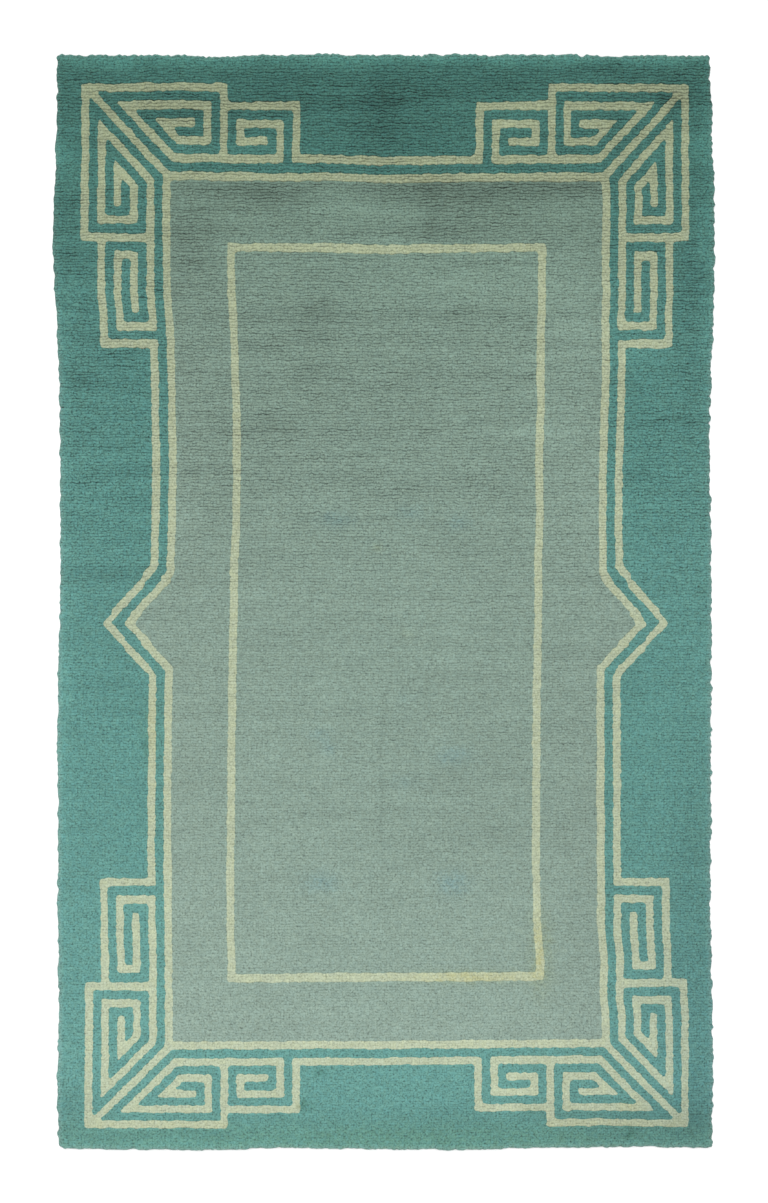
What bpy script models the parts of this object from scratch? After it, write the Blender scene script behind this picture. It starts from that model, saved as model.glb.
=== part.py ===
"""A hand-knotted wool rug, about 2.5 m by 1.5 m, lying flat.

The frame is in metres with +Z up. The origin is on the floor under the middle of the rug,
+Y runs to its head end and +X to its right edge, seen from above with the head at the top.
The rug is one piece, a woven back with a cut pile knotted into it, so it is one solid: flat
below, with the wandering edges of hand weaving, a pile that stands out a little past the
back all round, clipped edges that have rounded over, and shallow troughs where it is worn.
"""

import math
from typing import NamedTuple

import bmesh
import bpy

# Driving sizes, in metres
LENGTH = 2.494  # mean length from head to foot, over the pile
WIDTH = 1.490  # mean width, over the pile
BACK = 0.003  # thickness of the woven back
PILE = 0.011  # height of the cut pile above the back
OVERHANG = 0.003  # how far the pile stands out past the edge of the back
SHOULDER = 0.006  # how far the clipped top edge has rounded over
BELLY = 0.4  # share of the pile's height at which it reaches furthest out

# How finely the solid is made
ACROSS = 30  # cells across the top
ALONG = 50  # cells along the top
BORDER = 0.045  # width of the strip between the edge and those cells, in metres
SHOULDER_STEPS = 3
CORNER_STEPS = 4

MM = 0.001

WOOL_COLOUR = (0.21, 0.31, 0.26, 1.0)  # the sage of the field, linear
WOOL_ROUGHNESS = 0.95


class SideSection(NamedTuple):
    """Where the two long edges run: millimetres outwards from the mean width."""

    from_head: float  # metres
    left: float
    right: float


class EndSection(NamedTuple):
    """Where the two ends run: millimetres outwards from the mean length."""

    from_left: float  # metres
    head: float
    foot: float


class Corner(NamedTuple):
    """A corner of the rug: which side and end it joins, and its rounding in metres."""

    side: int  # -1 left, 1 right
    end: int  # -1 foot, 1 head
    radius: float


class Trough(NamedTuple):
    """A shallow trough across the pile: centre and half sizes in metres, depth in mm."""

    x: float
    y: float
    half_width: float
    half_length: float
    depth: float


SIDES = (
    SideSection(0.00, 4.0, -7.0),
    SideSection(0.10, 1.0, 0.0),
    SideSection(0.20, 4.0, 2.0),
    SideSection(0.30, 7.0, 6.5),
    SideSection(0.45, 10.0, 6.5),
    SideSection(0.56, 5.0, 7.0),
    SideSection(0.65, 0.5, 2.5),
    SideSection(0.75, -4.0, -1.0),
    SideSection(0.92, -5.0, -4.0),
    SideSection(1.10, -7.0, 0.0),
    SideSection(1.30, -4.0, 0.0),
    SideSection(1.40, -0.5, 0.5),
    SideSection(1.60, 0.0, -1.0),
    SideSection(1.80, -1.0, -1.0),
    SideSection(1.95, 0.0, -2.5),
    SideSection(2.10, -2.0, 0.0),
    SideSection(2.22, -3.0, 3.0),
    SideSection(2.38, 1.0, 3.0),
    SideSection(2.50, -4.0, 1.0),
)

ENDS = (
    EndSection(0.00, 2.5, -4.0),
    EndSection(0.10, -1.0, 1.0),
    EndSection(0.24, 1.5, 2.5),
    EndSection(0.34, -2.5, 3.0),
    EndSection(0.50, 0.5, -2.0),
    EndSection(0.62, 1.0, -0.5),
    EndSection(0.75, 1.5, 1.5),
    EndSection(0.84, 0.0, 1.0),
    EndSection(0.92, 2.5, 3.5),
    EndSection(1.00, -1.0, -0.5),
    EndSection(1.15, 0.0, -3.0),
    EndSection(1.25, -3.0, -4.0),
    EndSection(1.40, -1.5, -4.0),
    EndSection(1.49, -3.0, -2.0),
)

# Counter-clockwise from the left end of the foot
CORNERS = (
    Corner(-1, -1, 0.018),
    Corner(1, -1, 0.008),
    Corner(1, 1, 0.009),
    Corner(-1, 1, 0.008),
)

TROUGHS = (
    Trough(0.11, 0.92, 0.34, 0.05, 1.2),
    Trough(-0.36, 0.87, 0.10, 0.09, 0.8),
    Trough(-0.14, 0.52, 0.13, 0.05, 1.4),
    Trough(0.20, 0.64, 0.22, 0.05, 0.9),
    Trough(-0.66, 0.50, 0.08, 0.07, 1.0),
    Trough(0.63, 0.50, 0.09, 0.06, 1.0),
    Trough(-0.30, 0.26, 0.20, 0.05, 1.1),
    Trough(0.18, 0.23, 0.24, 0.05, 1.0),
    Trough(-0.66, 0.20, 0.08, 0.05, 0.9),
    Trough(0.06, -0.32, 0.24, 0.06, 0.6),
    Trough(-0.20, -0.62, 0.18, 0.07, 0.6),
)


def clear_scene():
    """Removes whatever the scene holds."""
    for obj in list(bpy.data.objects):
        bpy.data.objects.remove(obj, do_unlink=True)


def slope(rows, i, column):
    """Slope of a table's column at row i, from the rows on either side of it."""
    before = rows[max(i - 1, 0)]
    after = rows[min(i + 1, len(rows) - 1)]
    return (getattr(after, column) - getattr(before, column)) / (after[0] - before[0])


def read_table(rows, station, column):
    """A column's value at a station, on a smooth curve through the table's rows."""
    station = min(max(station, rows[0][0]), rows[-1][0])
    i = max(k for k in range(len(rows) - 1) if rows[k][0] <= station)
    span = rows[i + 1][0] - rows[i][0]
    t = (station - rows[i][0]) / span
    start = getattr(rows[i], column)
    end = getattr(rows[i + 1], column)
    return (
        (2 * t**3 - 3 * t**2 + 1) * start
        + (t**3 - 2 * t**2 + t) * span * slope(rows, i, column)
        + (3 * t**2 - 2 * t**3) * end
        + (t**3 - t**2) * span * slope(rows, i + 1, column)
    )


def side_x(side, y):
    """Where the left (-1) or right (1) edge of the pile is at height y of the plan."""
    column = "right" if side > 0 else "left"
    return side * (WIDTH / 2 + MM * read_table(SIDES, LENGTH / 2 - y, column))


def end_y(end, x):
    """Where the foot (-1) or head (1) edge of the pile is at width x of the plan."""
    column = "head" if end > 0 else "foot"
    return end * (LENGTH / 2 + MM * read_table(ENDS, WIDTH / 2 + x, column))


def pile_top(x, y):
    """Height of the pile's clipped face, with its shallow troughs."""
    height = BACK + PILE
    for trough in TROUGHS:
        across = (x - trough.x) / trough.half_width
        along = (y - trough.y) / trough.half_length
        height -= MM * trough.depth * math.exp(-(across**2) - along**2)
    return height


def grid_x(i):
    """Nominal width of the grid's column i."""
    return (i / ACROSS - 0.5) * (WIDTH - 2 * BORDER)


def grid_y(j):
    """Nominal length of the grid's row j."""
    return (j / ALONG - 0.5) * (LENGTH - 2 * BORDER)


def corner_arc(corner, outset):
    """Points of one corner's arc, counter-clockwise, the outline moved out by outset."""
    centre_x = side_x(corner.side, corner.end * LENGTH / 2) - corner.side * corner.radius
    centre_y = end_y(corner.end, corner.side * WIDTH / 2) - corner.end * corner.radius
    first = math.atan2(corner.end, corner.side) - math.pi / 4
    for step in range(CORNER_STEPS + 1):
        angle = first + step / CORNER_STEPS * math.pi / 2
        reach = corner.radius + outset
        yield centre_x + reach * math.cos(angle), centre_y + reach * math.sin(angle)


def outline(outset):
    """The rug's outline moved out by outset, counter-clockwise from the foot's left end.

    Each point comes with the cell corner (i, j) of the top's border that it is joined to.
    """
    loop = []
    for i in range(ACROSS + 1):
        loop.append((grid_x(i), end_y(-1, grid_x(i)) - outset, (i, 0)))
    for x, y in corner_arc(CORNERS[1], outset):
        loop.append((x, y, (ACROSS, 0)))
    for j in range(ALONG + 1):
        loop.append((side_x(1, grid_y(j)) + outset, grid_y(j), (ACROSS, j)))
    for x, y in corner_arc(CORNERS[2], outset):
        loop.append((x, y, (ACROSS, ALONG)))
    for i in reversed(range(ACROSS + 1)):
        loop.append((grid_x(i), end_y(1, grid_x(i)) + outset, (i, ALONG)))
    for x, y in corner_arc(CORNERS[3], outset):
        loop.append((x, y, (0, ALONG)))
    for j in reversed(range(ALONG + 1)):
        loop.append((side_x(-1, grid_y(j)) - outset, grid_y(j), (0, j)))
    for x, y in corner_arc(CORNERS[0], outset):
        loop.append((x, y, (0, 0)))
    return loop


def edge_sections():
    """Height and outset of each ring round the edge, from the floor up to the top."""
    belly = BACK + BELLY * PILE
    sections = [(0.0, -OVERHANG), (BACK, -OVERHANG)]
    for step in range(SHOULDER_STEPS + 1):
        angle = step / SHOULDER_STEPS * math.pi / 2
        height = belly + (BACK + PILE - belly) * math.sin(angle)
        sections.append((height, -SHOULDER * (1 - math.cos(angle))))
    return sections


def add_edge(mesh):
    """Adds the rings round the edge and the faces between them, and returns the rings."""
    rings = []
    for height, outset in edge_sections():
        ring = []
        for x, y, _ in outline(outset):
            worn = height / (BACK + PILE) * (BACK + PILE - pile_top(x, y))
            ring.append(mesh.verts.new((x, y, height - worn)))
        rings.append(ring)
    for lower, upper in zip(rings, rings[1:]):
        for k in range(len(lower)):
            n = (k + 1) % len(lower)
            mesh.faces.new((lower[k], lower[n], upper[n], upper[k]))
    return rings


def add_top(mesh, rim):
    """Adds the pile's face: cells in the middle, and a border strip out to the rim."""
    cells = {}
    for i in range(ACROSS + 1):
        for j in range(ALONG + 1):
            x, y = grid_x(i), grid_y(j)
            cells[i, j] = mesh.verts.new((x, y, pile_top(x, y)))
    for i in range(ACROSS):
        for j in range(ALONG):
            mesh.faces.new((cells[i, j], cells[i + 1, j], cells[i + 1, j + 1], cells[i, j + 1]))
    joined = [cells[cell] for _, _, cell in outline(-SHOULDER)]
    for k in range(len(rim)):
        n = (k + 1) % len(rim)
        if joined[k] is joined[n]:
            mesh.faces.new((rim[k], rim[n], joined[n]))
        else:
            mesh.faces.new((rim[k], rim[n], joined[n], joined[k]))


def centre_on_origin(mesh):
    """Moves the rug so that the origin is under the middle of its outline."""
    xs = [vert.co.x for vert in mesh.verts]
    ys = [vert.co.y for vert in mesh.verts]
    middle = ((min(xs) + max(xs)) / 2, (min(ys) + max(ys)) / 2, 0.0)
    bmesh.ops.translate(mesh, verts=mesh.verts, vec=[-side for side in middle])


def wool():
    """The rug's wool, in the colour of its field."""
    material = bpy.data.materials.new("wool")
    material.use_nodes = True
    shader = material.node_tree.nodes["Principled BSDF"]
    shader.inputs["Base Color"].default_value = WOOL_COLOUR
    shader.inputs["Roughness"].default_value = WOOL_ROUGHNESS
    shader.inputs["Metallic"].default_value = 0.0
    material.diffuse_color = WOOL_COLOUR
    return material


def make_rug():
    """The rug, back and pile in one solid."""
    shape = bmesh.new()
    rings = add_edge(shape)
    shape.faces.new(list(reversed(rings[0])))
    add_top(shape, rings[-1])
    centre_on_origin(shape)
    mesh = bpy.data.meshes.new("rug")
    shape.to_mesh(mesh)
    shape.free()
    mesh.shade_smooth()
    mesh.set_sharp_from_angle(angle=math.radians(50))
    mesh.materials.append(wool())
    rug = bpy.data.objects.new("rug", mesh)
    bpy.context.scene.collection.objects.link(rug)
    return rug


clear_scene()
make_rug()
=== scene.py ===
"""Looks of a hand-knotted wool rug lying flat: its pile knot by knot, its woven back, its edge.

The pattern is worked out on the rug's own grid of knots by rule: a three-knot ivory line on a
six-knot step makes the key corners, the double frame with its two pointed sides, and the panel.
Metres unless a docstring says otherwise, +Z up, +Y to the head of the rug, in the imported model's frame.
"""

import logging
import math
from dataclasses import dataclass, field, replace
from enum import Enum
from typing import NamedTuple

import bpy
import numpy as np
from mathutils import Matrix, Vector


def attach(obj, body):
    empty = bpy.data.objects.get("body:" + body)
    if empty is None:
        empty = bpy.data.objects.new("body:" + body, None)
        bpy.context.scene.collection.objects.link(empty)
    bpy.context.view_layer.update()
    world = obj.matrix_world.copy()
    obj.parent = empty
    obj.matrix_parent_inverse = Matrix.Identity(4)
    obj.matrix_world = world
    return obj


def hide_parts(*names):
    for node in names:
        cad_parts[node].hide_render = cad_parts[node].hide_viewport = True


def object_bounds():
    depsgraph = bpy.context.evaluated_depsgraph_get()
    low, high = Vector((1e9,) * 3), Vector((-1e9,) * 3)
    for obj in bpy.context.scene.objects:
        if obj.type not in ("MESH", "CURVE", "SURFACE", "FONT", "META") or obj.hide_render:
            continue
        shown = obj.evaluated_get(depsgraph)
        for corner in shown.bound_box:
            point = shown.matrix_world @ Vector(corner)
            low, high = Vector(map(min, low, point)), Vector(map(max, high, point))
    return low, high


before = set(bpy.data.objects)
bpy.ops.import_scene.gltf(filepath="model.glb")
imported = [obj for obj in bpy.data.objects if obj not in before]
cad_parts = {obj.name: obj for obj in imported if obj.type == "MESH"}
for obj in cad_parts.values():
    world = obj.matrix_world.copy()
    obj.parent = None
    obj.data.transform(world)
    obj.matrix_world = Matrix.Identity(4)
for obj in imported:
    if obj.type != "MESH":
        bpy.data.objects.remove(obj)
cad_low, cad_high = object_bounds()

LOG = logging.getLogger("rug")
MM = 0.001

# The real size of a photo pixel, and the pixel at the middle of the rug
PHOTO_PIXEL = 2.2806 * MM
PHOTO_MIDDLE_X = 383.4
PHOTO_MIDDLE_Y = 601.7

# Names of the maps on the pile's meshes
KNOT_MAP = "knots"
SHADING_MAP = "shading"
MARKS_MAP = "marks"
BAKE_MAP = "OFBake"

# The part of the unit square left free along each side of a bake map
BAKE_MARGIN = 0.004

# Which way out each corner lies, across and along: left and right at the foot, then at the head
CORNER_SIGNS = np.array([[[-1, -1], [1, -1]], [[-1, 1], [1, 1]]])

Triple = tuple[float, float, float]
Range = tuple[float, float, float, float]
Moves = tuple[np.ndarray, np.ndarray]
Socket = bpy.types.NodeSocket


class Yarn(Enum):
    """The wools of the pile."""

    TEAL = 0
    SAGE = 1
    IVORY = 2


class WarpSection(NamedTuple):
    """How far six lengthwise lines lie to the right of straight, in mm, at a place y."""

    y: float
    left_bar: float
    left_frame: float
    left_panel: float
    right_panel: float
    right_frame: float
    right_bar: float


class WeftSection(NamedTuple):
    """How far six crosswise lines lie towards the foot from straight, in mm, at a place x."""

    x: float
    head_bar: float
    head_frame: float
    head_panel: float
    foot_panel: float
    foot_frame: float
    foot_bar: float


class Tufting(NamedTuple):
    """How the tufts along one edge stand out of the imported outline, in mm."""

    mean: float
    uneven: float
    ragged: float


class Layer(NamedTuple):
    """A layer of unevenness: its size in mm, and how many half-knots lie between its free values."""

    rows: float
    columns: float
    at_foot: float
    more_at_head: float = 0.0


class FadeAndShadeStop(NamedTuple):
    """How far the colour has moved from the head's to the foot's at a station along the rug, both 0 at the
    head and 1 at the foot: partly the wool's own paling, partly painted shade of the pile's lean, darker at
    the head.
    """

    station: float
    faded_and_shaded: float


class Spot(NamedTuple):
    """A soft patch on the rug: its centre, its half sizes and how strong it is.

    The shaded patches are in photo pixels, the stains in metres.
    """

    x: float
    y: float
    half_width: float
    half_length: float
    strength: float


def table(kind: type, *rows: tuple[float, ...]) -> tuple:
    """Rows of numbers, their columns named."""
    return tuple(kind(*row) for row in rows)


WARP_DRIFT = table(
    WarpSection,
    (1.10, -2.0, -5.0, -3.0, 12.5, 6.5, 1.5),
    (1.03, -2.5, -5.0, -3.5, 12.5, 3.5, 0.5),
    (0.98, -3.5, -5.0, -4.0, 10.5, 4.5, 1.0),
    (0.92, -4.0, -5.5, -5.5, 8.0, 7.5, 1.0),
    (0.78, -3.5, -5.0, -5.5, 8.0, 5.5, 1.0),
    (0.70, -4.5, -4.5, -3.5, 8.0, 6.5, 1.5),
    (0.65, 0.5, 0.5, 0.5, 6.5, 4.0, -1.0),
    (0.60, 3.0, 3.5, 2.0, 4.5, 5.5, 0.0),
    (0.46, 5.0, 6.5, 7.0, 5.0, 4.5, -2.0),
    (0.33, 6.0, 8.5, 8.5, 1.0, -1.0, -4.0),
    (0.19, 6.0, 7.0, 7.0, 2.5, -2.5, -4.0),
    (0.09, 5.0, 4.5, 2.5, -1.0, -0.5, -4.0),
    (0.02, 5.0, 3.0, 1.5, -1.0, -4.0, -4.5),
    (-0.04, 4.0, 1.0, 0.5, -1.5, -2.0, -5.0),
    (-0.11, 3.3, 0.3, -1.0, -2.5, -6.5, -5.5),
    (-0.29, 1.5, -1.5, -3.5, -5.0, -6.5, -7.0),
    (-0.57, 2.0, -3.5, -6.0, -6.5, -6.0, -8.0),
    (-0.75, 4.0, -1.5, -6.5, -3.0, -5.0, -6.0),
    (-0.82, 5.5, 0.0, -4.5, 3.5, 1.0, -3.0),
    (-0.90, 6.0, 0.5, -3.5, 3.0, 0.0, -3.0),
    (-0.95, 6.0, 0.0, -3.0, 4.0, 5.5, 0.5),
    (-1.02, 5.5, 0.0, -3.0, 7.0, 6.0, 0.5),
    (-1.10, 5.0, 0.5, -2.5, 9.0, 6.0, 0.5),
)

WEFT_DRIFT = table(
    WeftSection,
    (-0.65, -0.6, -3.0, -4.5, 0.5, 2.0, 1.0),
    (-0.56, -0.8, -3.0, -4.5, 1.0, 1.5, 1.0),
    (-0.46, -3.0, -3.0, -1.5, 3.5, 2.5, 1.5),
    (-0.30, 0.0, -1.0, -1.0, 3.0, 1.5, 2.5),
    (-0.15, 0.0, -1.0, -0.5, 0.5, 0.5, 1.5),
    (0.00, 1.0, 4.0, 3.5, -0.5, 0.5, 0.0),
    (0.08, 1.0, 3.0, 2.0, 0.0, -0.5, -1.0),
    (0.22, 0.5, 0.5, -0.5, -1.0, -1.5, -2.0),
    (0.40, -1.5, 0.5, -1.0, -3.0, -3.0, -3.0),
    (0.49, 0.5, -0.5, -1.5, -4.0, -4.0, -4.0),
    (0.56, 1.0, -0.5, -4.0, -6.5, -4.0, -2.0),
    (0.65, 1.3, -0.5, -4.0, -8.0, -4.0, -2.0),
)

# Painted shade where the pile leans and looks darker, or painted highlights where negative.
# Read off the photo, in photo pixels from its top left corner.
SHADED_PATCHES = table(
    Spot,
    # The rug's head edge and the border at the head
    # A painted highlight along the head edge, where the pile leans to the light
    (383, 56, 1300, 10, -0.42),
    (440, 100, 300, 50, 0.04),
    (392, 57, 30, 4, -0.14),
    (85, 64, 26, 12, 0.11),
    (515, 122, 36, 9, -0.10),
    (645, 76, 50, 8, 0.07),
    (655, 152, 34, 9, -0.18),
    (388, 106, 22, 44, 0.17),
    (400, 98, 100, 7, 0.15),
    (390, 141, 90, 15, 0.07),
    (275, 100, 55, 12, 0.13),
    (190, 112, 40, 16, 0.12),
    (200, 152, 100, 10, -0.12),
    (520, 108, 80, 9, -0.08),
    (460, 142, 55, 20, -0.08),
    (678, 97, 18, 36, 0.14),
    (668, 95, 48, 6, 0.14),
    (600, 68, 60, 7, 0.10),
    # The sage field at the head
    (500, 188, 115, 11, 0.17),
    (425, 190, 34, 10, 0.17),
    (350, 195, 36, 5, -0.09),
    (580, 184, 26, 6, 0.09),
    (436, 224, 18, 28, 0.11),
    (500, 232, 60, 9, 0.10),
    (560, 212, 45, 14, -0.08),
    (262, 188, 46, 8, 0.20),
    (188, 240, 26, 34, 0.10),
    (230, 220, 30, 10, -0.10),
    (360, 210, 60, 12, -0.16),
    (320, 228, 60, 6, -0.08),
    (290, 250, 140, 13, -0.09),
    # The head half of the panel and its sides
    (470, 277, 140, 42, -0.12),
    (575, 335, 38, 75, -0.11),
    (515, 352, 36, 26, -0.06),
    (455, 265, 60, 3, 0.12),
    (462, 313, 42, 5, 0.17),
    (545, 316, 50, 4, 0.09),
    (475, 345, 55, 4, 0.05),
    (340, 356, 130, 9, -0.06),
    (480, 371, 90, 4, 0.11),
    (318, 312, 22, 26, 0.10),
    (312, 371, 26, 7, 0.17),
    (255, 424, 120, 16, 0.05),
    (278, 431, 36, 4, 0.09),
    (530, 428, 70, 14, -0.10),
    (575, 480, 50, 50, -0.05),
    (218, 468, 52, 6, 0.10),
    (240, 500, 26, 22, 0.06),
    (437, 488, 60, 6, 0.11),
    (180, 515, 22, 26, -0.08),
    (340, 553, 18, 4, 0.07),
    (474, 551, 18, 5, 0.08),
    (190, 566, 60, 4, 0.08),
    (585, 508, 25, 22, -0.05),
    # The left border
    (63, 158, 14, 24, -0.24),
    (115, 174, 36, 14, -0.24),
    (110, 285, 30, 40, -0.07),
    (62, 460, 14, 40, -0.07),
    (95, 490, 50, 50, -0.04),
    (66, 208, 14, 7, 0.16),
    (77, 255, 20, 14, 0.08),
    (64, 330, 16, 50, -0.12),
    (100, 350, 60, 34, 0.04),
    (76, 376, 15, 7, 0.22),
    (105, 476, 52, 8, 0.08),
    (68, 520, 9, 8, 0.11),
    (106, 573, 52, 8, 0.13),
    (56, 640, 14, 260, -0.16),
    # The right border
    (702, 138, 14, 26, -0.16),
    (710, 240, 12, 150, -0.12),
    (694, 300, 9, 110, 0.08),
    (655, 265, 40, 8, 0.14),
    (630, 356, 24, 14, -0.12),
    (652, 350, 26, 50, -0.05),
    (678, 423, 40, 5, 0.15),
    (605, 439, 17, 6, 0.12),
    (634, 475, 24, 5, 0.17),
    (632, 505, 24, 13, -0.09),
    # The foot half
    (560, 640, 90, 60, 0.03),
    (490, 800, 110, 120, 0.06),
    (640, 909, 80, 190, 0.06),
    (700, 950, 36, 190, 0.15),
    (575, 1060, 50, 50, 0.04),
    (668, 1010, 40, 60, 0.07),
    (600, 960, 30, 150, 0.03),
    (655, 1122, 92, 34, 0.20),
    (700, 1110, 26, 50, 0.10),
    (110, 940, 100, 130, -0.04),
    (110, 1055, 60, 12, -0.05),
    (180, 1134, 140, 5, 0.10),
    (400, 1118, 380, 14, 0.06),
    (480, 1132, 140, 22, 0.10),
    (72, 1112, 26, 24, 0.12),
    # A thin line of painted shade along a faint crease
    (388, 781, 2, 210, 0.07),
)

RIM_TUFTS = {
    "left": Tufting(0.6, 1.9, 1.3),
    "right": Tufting(1.7, 2.0, 2.6),
    "head": Tufting(1.0, 2.3, 2.0),
    "foot": Tufting(2.0, 1.4, 1.0),
}

BLUE_STAINS = table(
    Spot,
    (0.690, -1.050, 0.120, 0.300, 0.16),
    (-0.110, 0.188, 0.036, 0.020, 0.30),
    (0.060, 0.202, 0.028, 0.014, 0.26),
    (0.172, 0.182, 0.022, 0.018, 0.30),
    (-0.143, -0.304, 0.020, 0.014, 0.26),
    (-0.125, -0.334, 0.016, 0.014, 0.28),
    (0.160, -0.350, 0.034, 0.020, 0.34),
    (0.047, -0.412, 0.034, 0.014, 0.16),
    (-0.142, -0.640, 0.036, 0.022, 0.36),
    (0.158, -0.642, 0.034, 0.026, 0.40),
    (0.050, -0.220, 0.020, 0.014, 0.12),
)

DARK_STAINS = table(
    Spot,
    (-0.147, -1.073, 0.012, 0.010, 0.75),
    (-0.179, -1.146, 0.018, 0.012, 0.70),
    (0.565, -1.212, 0.012, 0.013, 0.75),
    (0.340, -1.160, 0.020, 0.010, 0.35),
    (-0.545, -0.325, 0.012, 0.018, 0.40),
)

YELLOW_STAINS = table(
    Spot,
    (0.050, -1.225, 1.200, 0.040, 0.42),
    (0.358, -0.800, 0.022, 0.085, 0.80),
    (0.200, -0.857, 0.120, 0.014, 0.75),
    (-0.530, -0.290, 0.020, 0.080, 0.35),
    (0.562, -1.150, 0.016, 0.012, 0.55),
    (0.050, -0.075, 0.016, 0.010, 0.30),
    (-0.010, 0.125, 0.014, 0.009, 0.35),
)

PILE_WEAR = (Layer(30, 60, 0.4), Layer(9, 12, 0.3))
SWAY_ACROSS = (Layer(16, 6, 0.8), Layer(2, 8, 1.2), Layer(2, 2, 1.0))
SWAY_ALONG = (Layer(4, 10, 0.6, 1.0), Layer(2, 3, 1.4, 0.4), Layer(3, 5, 0.9))

# From the head's colour to the foot's: partly the wool's own paling, partly painted shade of the pile's lean
# at the head
FADE_AND_SHADE_STOPS = table(
    FadeAndShadeStop, (0.0, 0.0), (0.1, 0.08), (0.26, 0.41), (0.5, 0.69), (0.7, 0.79), (0.88, 0.95), (1.0, 1.0)
)

# Painted light on the knots nearest the rug's edge, lighter and warmer
EDGE_GLOW_TINT = (1.43, 1.14, 1.15)
STAIN_TINTS = {"Blue": (0.66, 0.98, 1.32), "Yellow": (1.02, 0.90, 0.62), "Dark": (0.42, 0.50, 0.40)}


def soft_noise(rng: np.random.Generator, shape: tuple[int, int], cell: tuple[float, float]) -> np.ndarray:
    """Smooth random values, about -1 to 1.

    Args:
        rng: The seeded source of the values.
        shape: Rows and columns wanted.
        cell: How many rows and columns lie between two free values.

    Returns:
        An array of that shape.
    """
    values = rng.uniform(-1, 1, [int(size / step) + 3 for size, step in zip(shape, cell)])
    for axis, (size, step) in enumerate(zip(shape, cell)):
        place = np.arange(size) / step
        low = place.astype(int)
        part = place - low
        part = part * part * (3 - 2 * part)
        part = part[:, None] if axis == 0 else part[None, :]
        values = np.take(values, low, axis) * (1 - part) + np.take(values, low + 1, axis) * part
    return values


def laid(spots: tuple[Spot, ...], x: np.ndarray, y: np.ndarray) -> np.ndarray:
    """How strong a list of soft patches is at places on the rug.

    Args:
        spots: The patches.
        x: The places across the rug, in the patches' own unit.
        y: The places along it.

    Returns:
        The patches' summed strength at each place.
    """
    total = np.zeros(x.shape)
    for spot in spots:
        away = ((x - spot.x) / spot.half_width) ** 2 + ((y - spot.y) / spot.half_length) ** 2
        total += spot.strength * np.exp(-away)
    return total


def drifts(sections: tuple[NamedTuple, ...], at: float) -> list[float]:
    """How far each of the six lines strays at a place, read between a table's sections."""
    places, *lines = zip(*sorted(sections))
    return [MM * np.interp(at, places, line) for line in lines]


def grid_quads(shape: tuple[int, int]) -> np.ndarray:
    """The quads of a grid of points that is numbered row by row."""
    index = np.arange(shape[0] * shape[1]).reshape(shape)
    return np.stack([index[:-1, :-1], index[1:, :-1], index[1:, 1:], index[:-1, 1:]], axis=-1)


def rim_loop(shape: tuple[int, int]) -> np.ndarray:
    """Numbers of a grid's outer points, anticlockwise from the head's left end."""
    index = np.arange(shape[0] * shape[1]).reshape(shape)
    return np.concatenate([index[:-1, 0], index[-1, :-1], index[:0:-1, -1], index[0, :0:-1]])


def band_quads(upper: np.ndarray, lower: np.ndarray) -> np.ndarray:
    """The quads of a closed band between two loops of points."""
    return np.stack([upper, lower, np.roll(lower, -1), np.roll(upper, -1)], axis=-1)


def bake_map(places: np.ndarray) -> np.ndarray:
    """A flat map that fills the unit square, from points' places on the grid of knots."""
    low, high = places.min(axis=0), places.max(axis=0)
    return BAKE_MARGIN + (1 - 2 * BAKE_MARGIN) * (places - low) / (high - low)


@dataclass(frozen=True)
class CornerKnots:
    """Knots counted from a corner: p along the side that its keys follow, q in from that side.

    Each method but the first gives True where a knot belongs to the shape it draws.
    """

    p: np.ndarray
    q: np.ndarray
    line: int
    step: int
    slant_half: float

    @property
    def turned(self) -> "CornerKnots":
        """The same knots counted along the corner's other side."""
        return replace(self, p=self.q, q=self.p)

    def bar(self, level: float, start: float, end: float) -> np.ndarray:
        """A line along p, with its outer side at a level of q."""
        return (self.q >= level) & (self.q < level + self.line) & (self.p >= start) & (self.p < end)

    def post(self, level: float, start: float, end: float) -> np.ndarray:
        """A line along q, with its outer side at a level of p."""
        return self.turned.bar(level, start, end)

    def slant(self, offset: float, start: float, end: float) -> np.ndarray:
        """A line beside the diagonal, offset from it along p, from start to end in q."""
        on_line = np.abs(self.p - self.q - offset) < self.slant_half
        return on_line & (self.q >= start) & (self.q < end)

    def pointed_key(self, outer: float, inner: float) -> np.ndarray:
        """The pointed key beside the diagonal, on the side where p is larger.

        Args:
            outer: How far its outer slant lies from the diagonal.
            inner: How far its inner slant lies from the diagonal.

        Returns:
            True where a knot belongs to it.
        """
        step, line = self.step, self.line
        beyond_outer = self.p - self.q > outer - self.slant_half
        beyond_inner = self.p - self.q > inner - self.slant_half
        end = 8 * step
        return (
            self.slant(outer, step, 4 * step + line)
            | self.bar(step, step, end) & beyond_outer
            | self.post(end - line, step, 3 * step + line)
            | self.bar(3 * step, step, end) & beyond_inner
            | self.slant(inner, 2 * step, 3 * step + line)
            | self.bar(2 * step, step, 7 * step) & beyond_inner
        )

    def square_key(self, end: int) -> np.ndarray:
        """The squared key next to the pointed one.

        Args:
            end: Where the key ends, in p.

        Returns:
            True where a knot belongs to it.
        """
        step, line = self.step, self.line
        start = 9 * step
        turn = end - step
        return (
            self.bar(step, start - line, end)
            | self.post(end - line, step, 4 * step + line)
            | self.post(turn - line, 2 * step, 4 * step + line)
            | self.bar(2 * step, start + line, turn)
            | self.post(start + line, 2 * step, 3 * step + line)
            | self.bar(3 * step, start + line, turn - step)
        )

    def keys(self, key_end: int, slants: tuple[float, float]) -> np.ndarray:
        """Half of a corner: its outer bar, its divider and its two keys.

        Args:
            key_end: Where the squared key ends.
            slants: How far the pointed key's two slants lie from the diagonal.

        Returns:
            True where a knot belongs to it.
        """
        divider = 9 * self.step
        return (
            self.bar(0, 0, divider)
            | self.post(divider - self.line, 0, 4 * self.step + self.line)
            | self.pointed_key(*slants)
            | self.square_key(key_end)
        )


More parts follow.
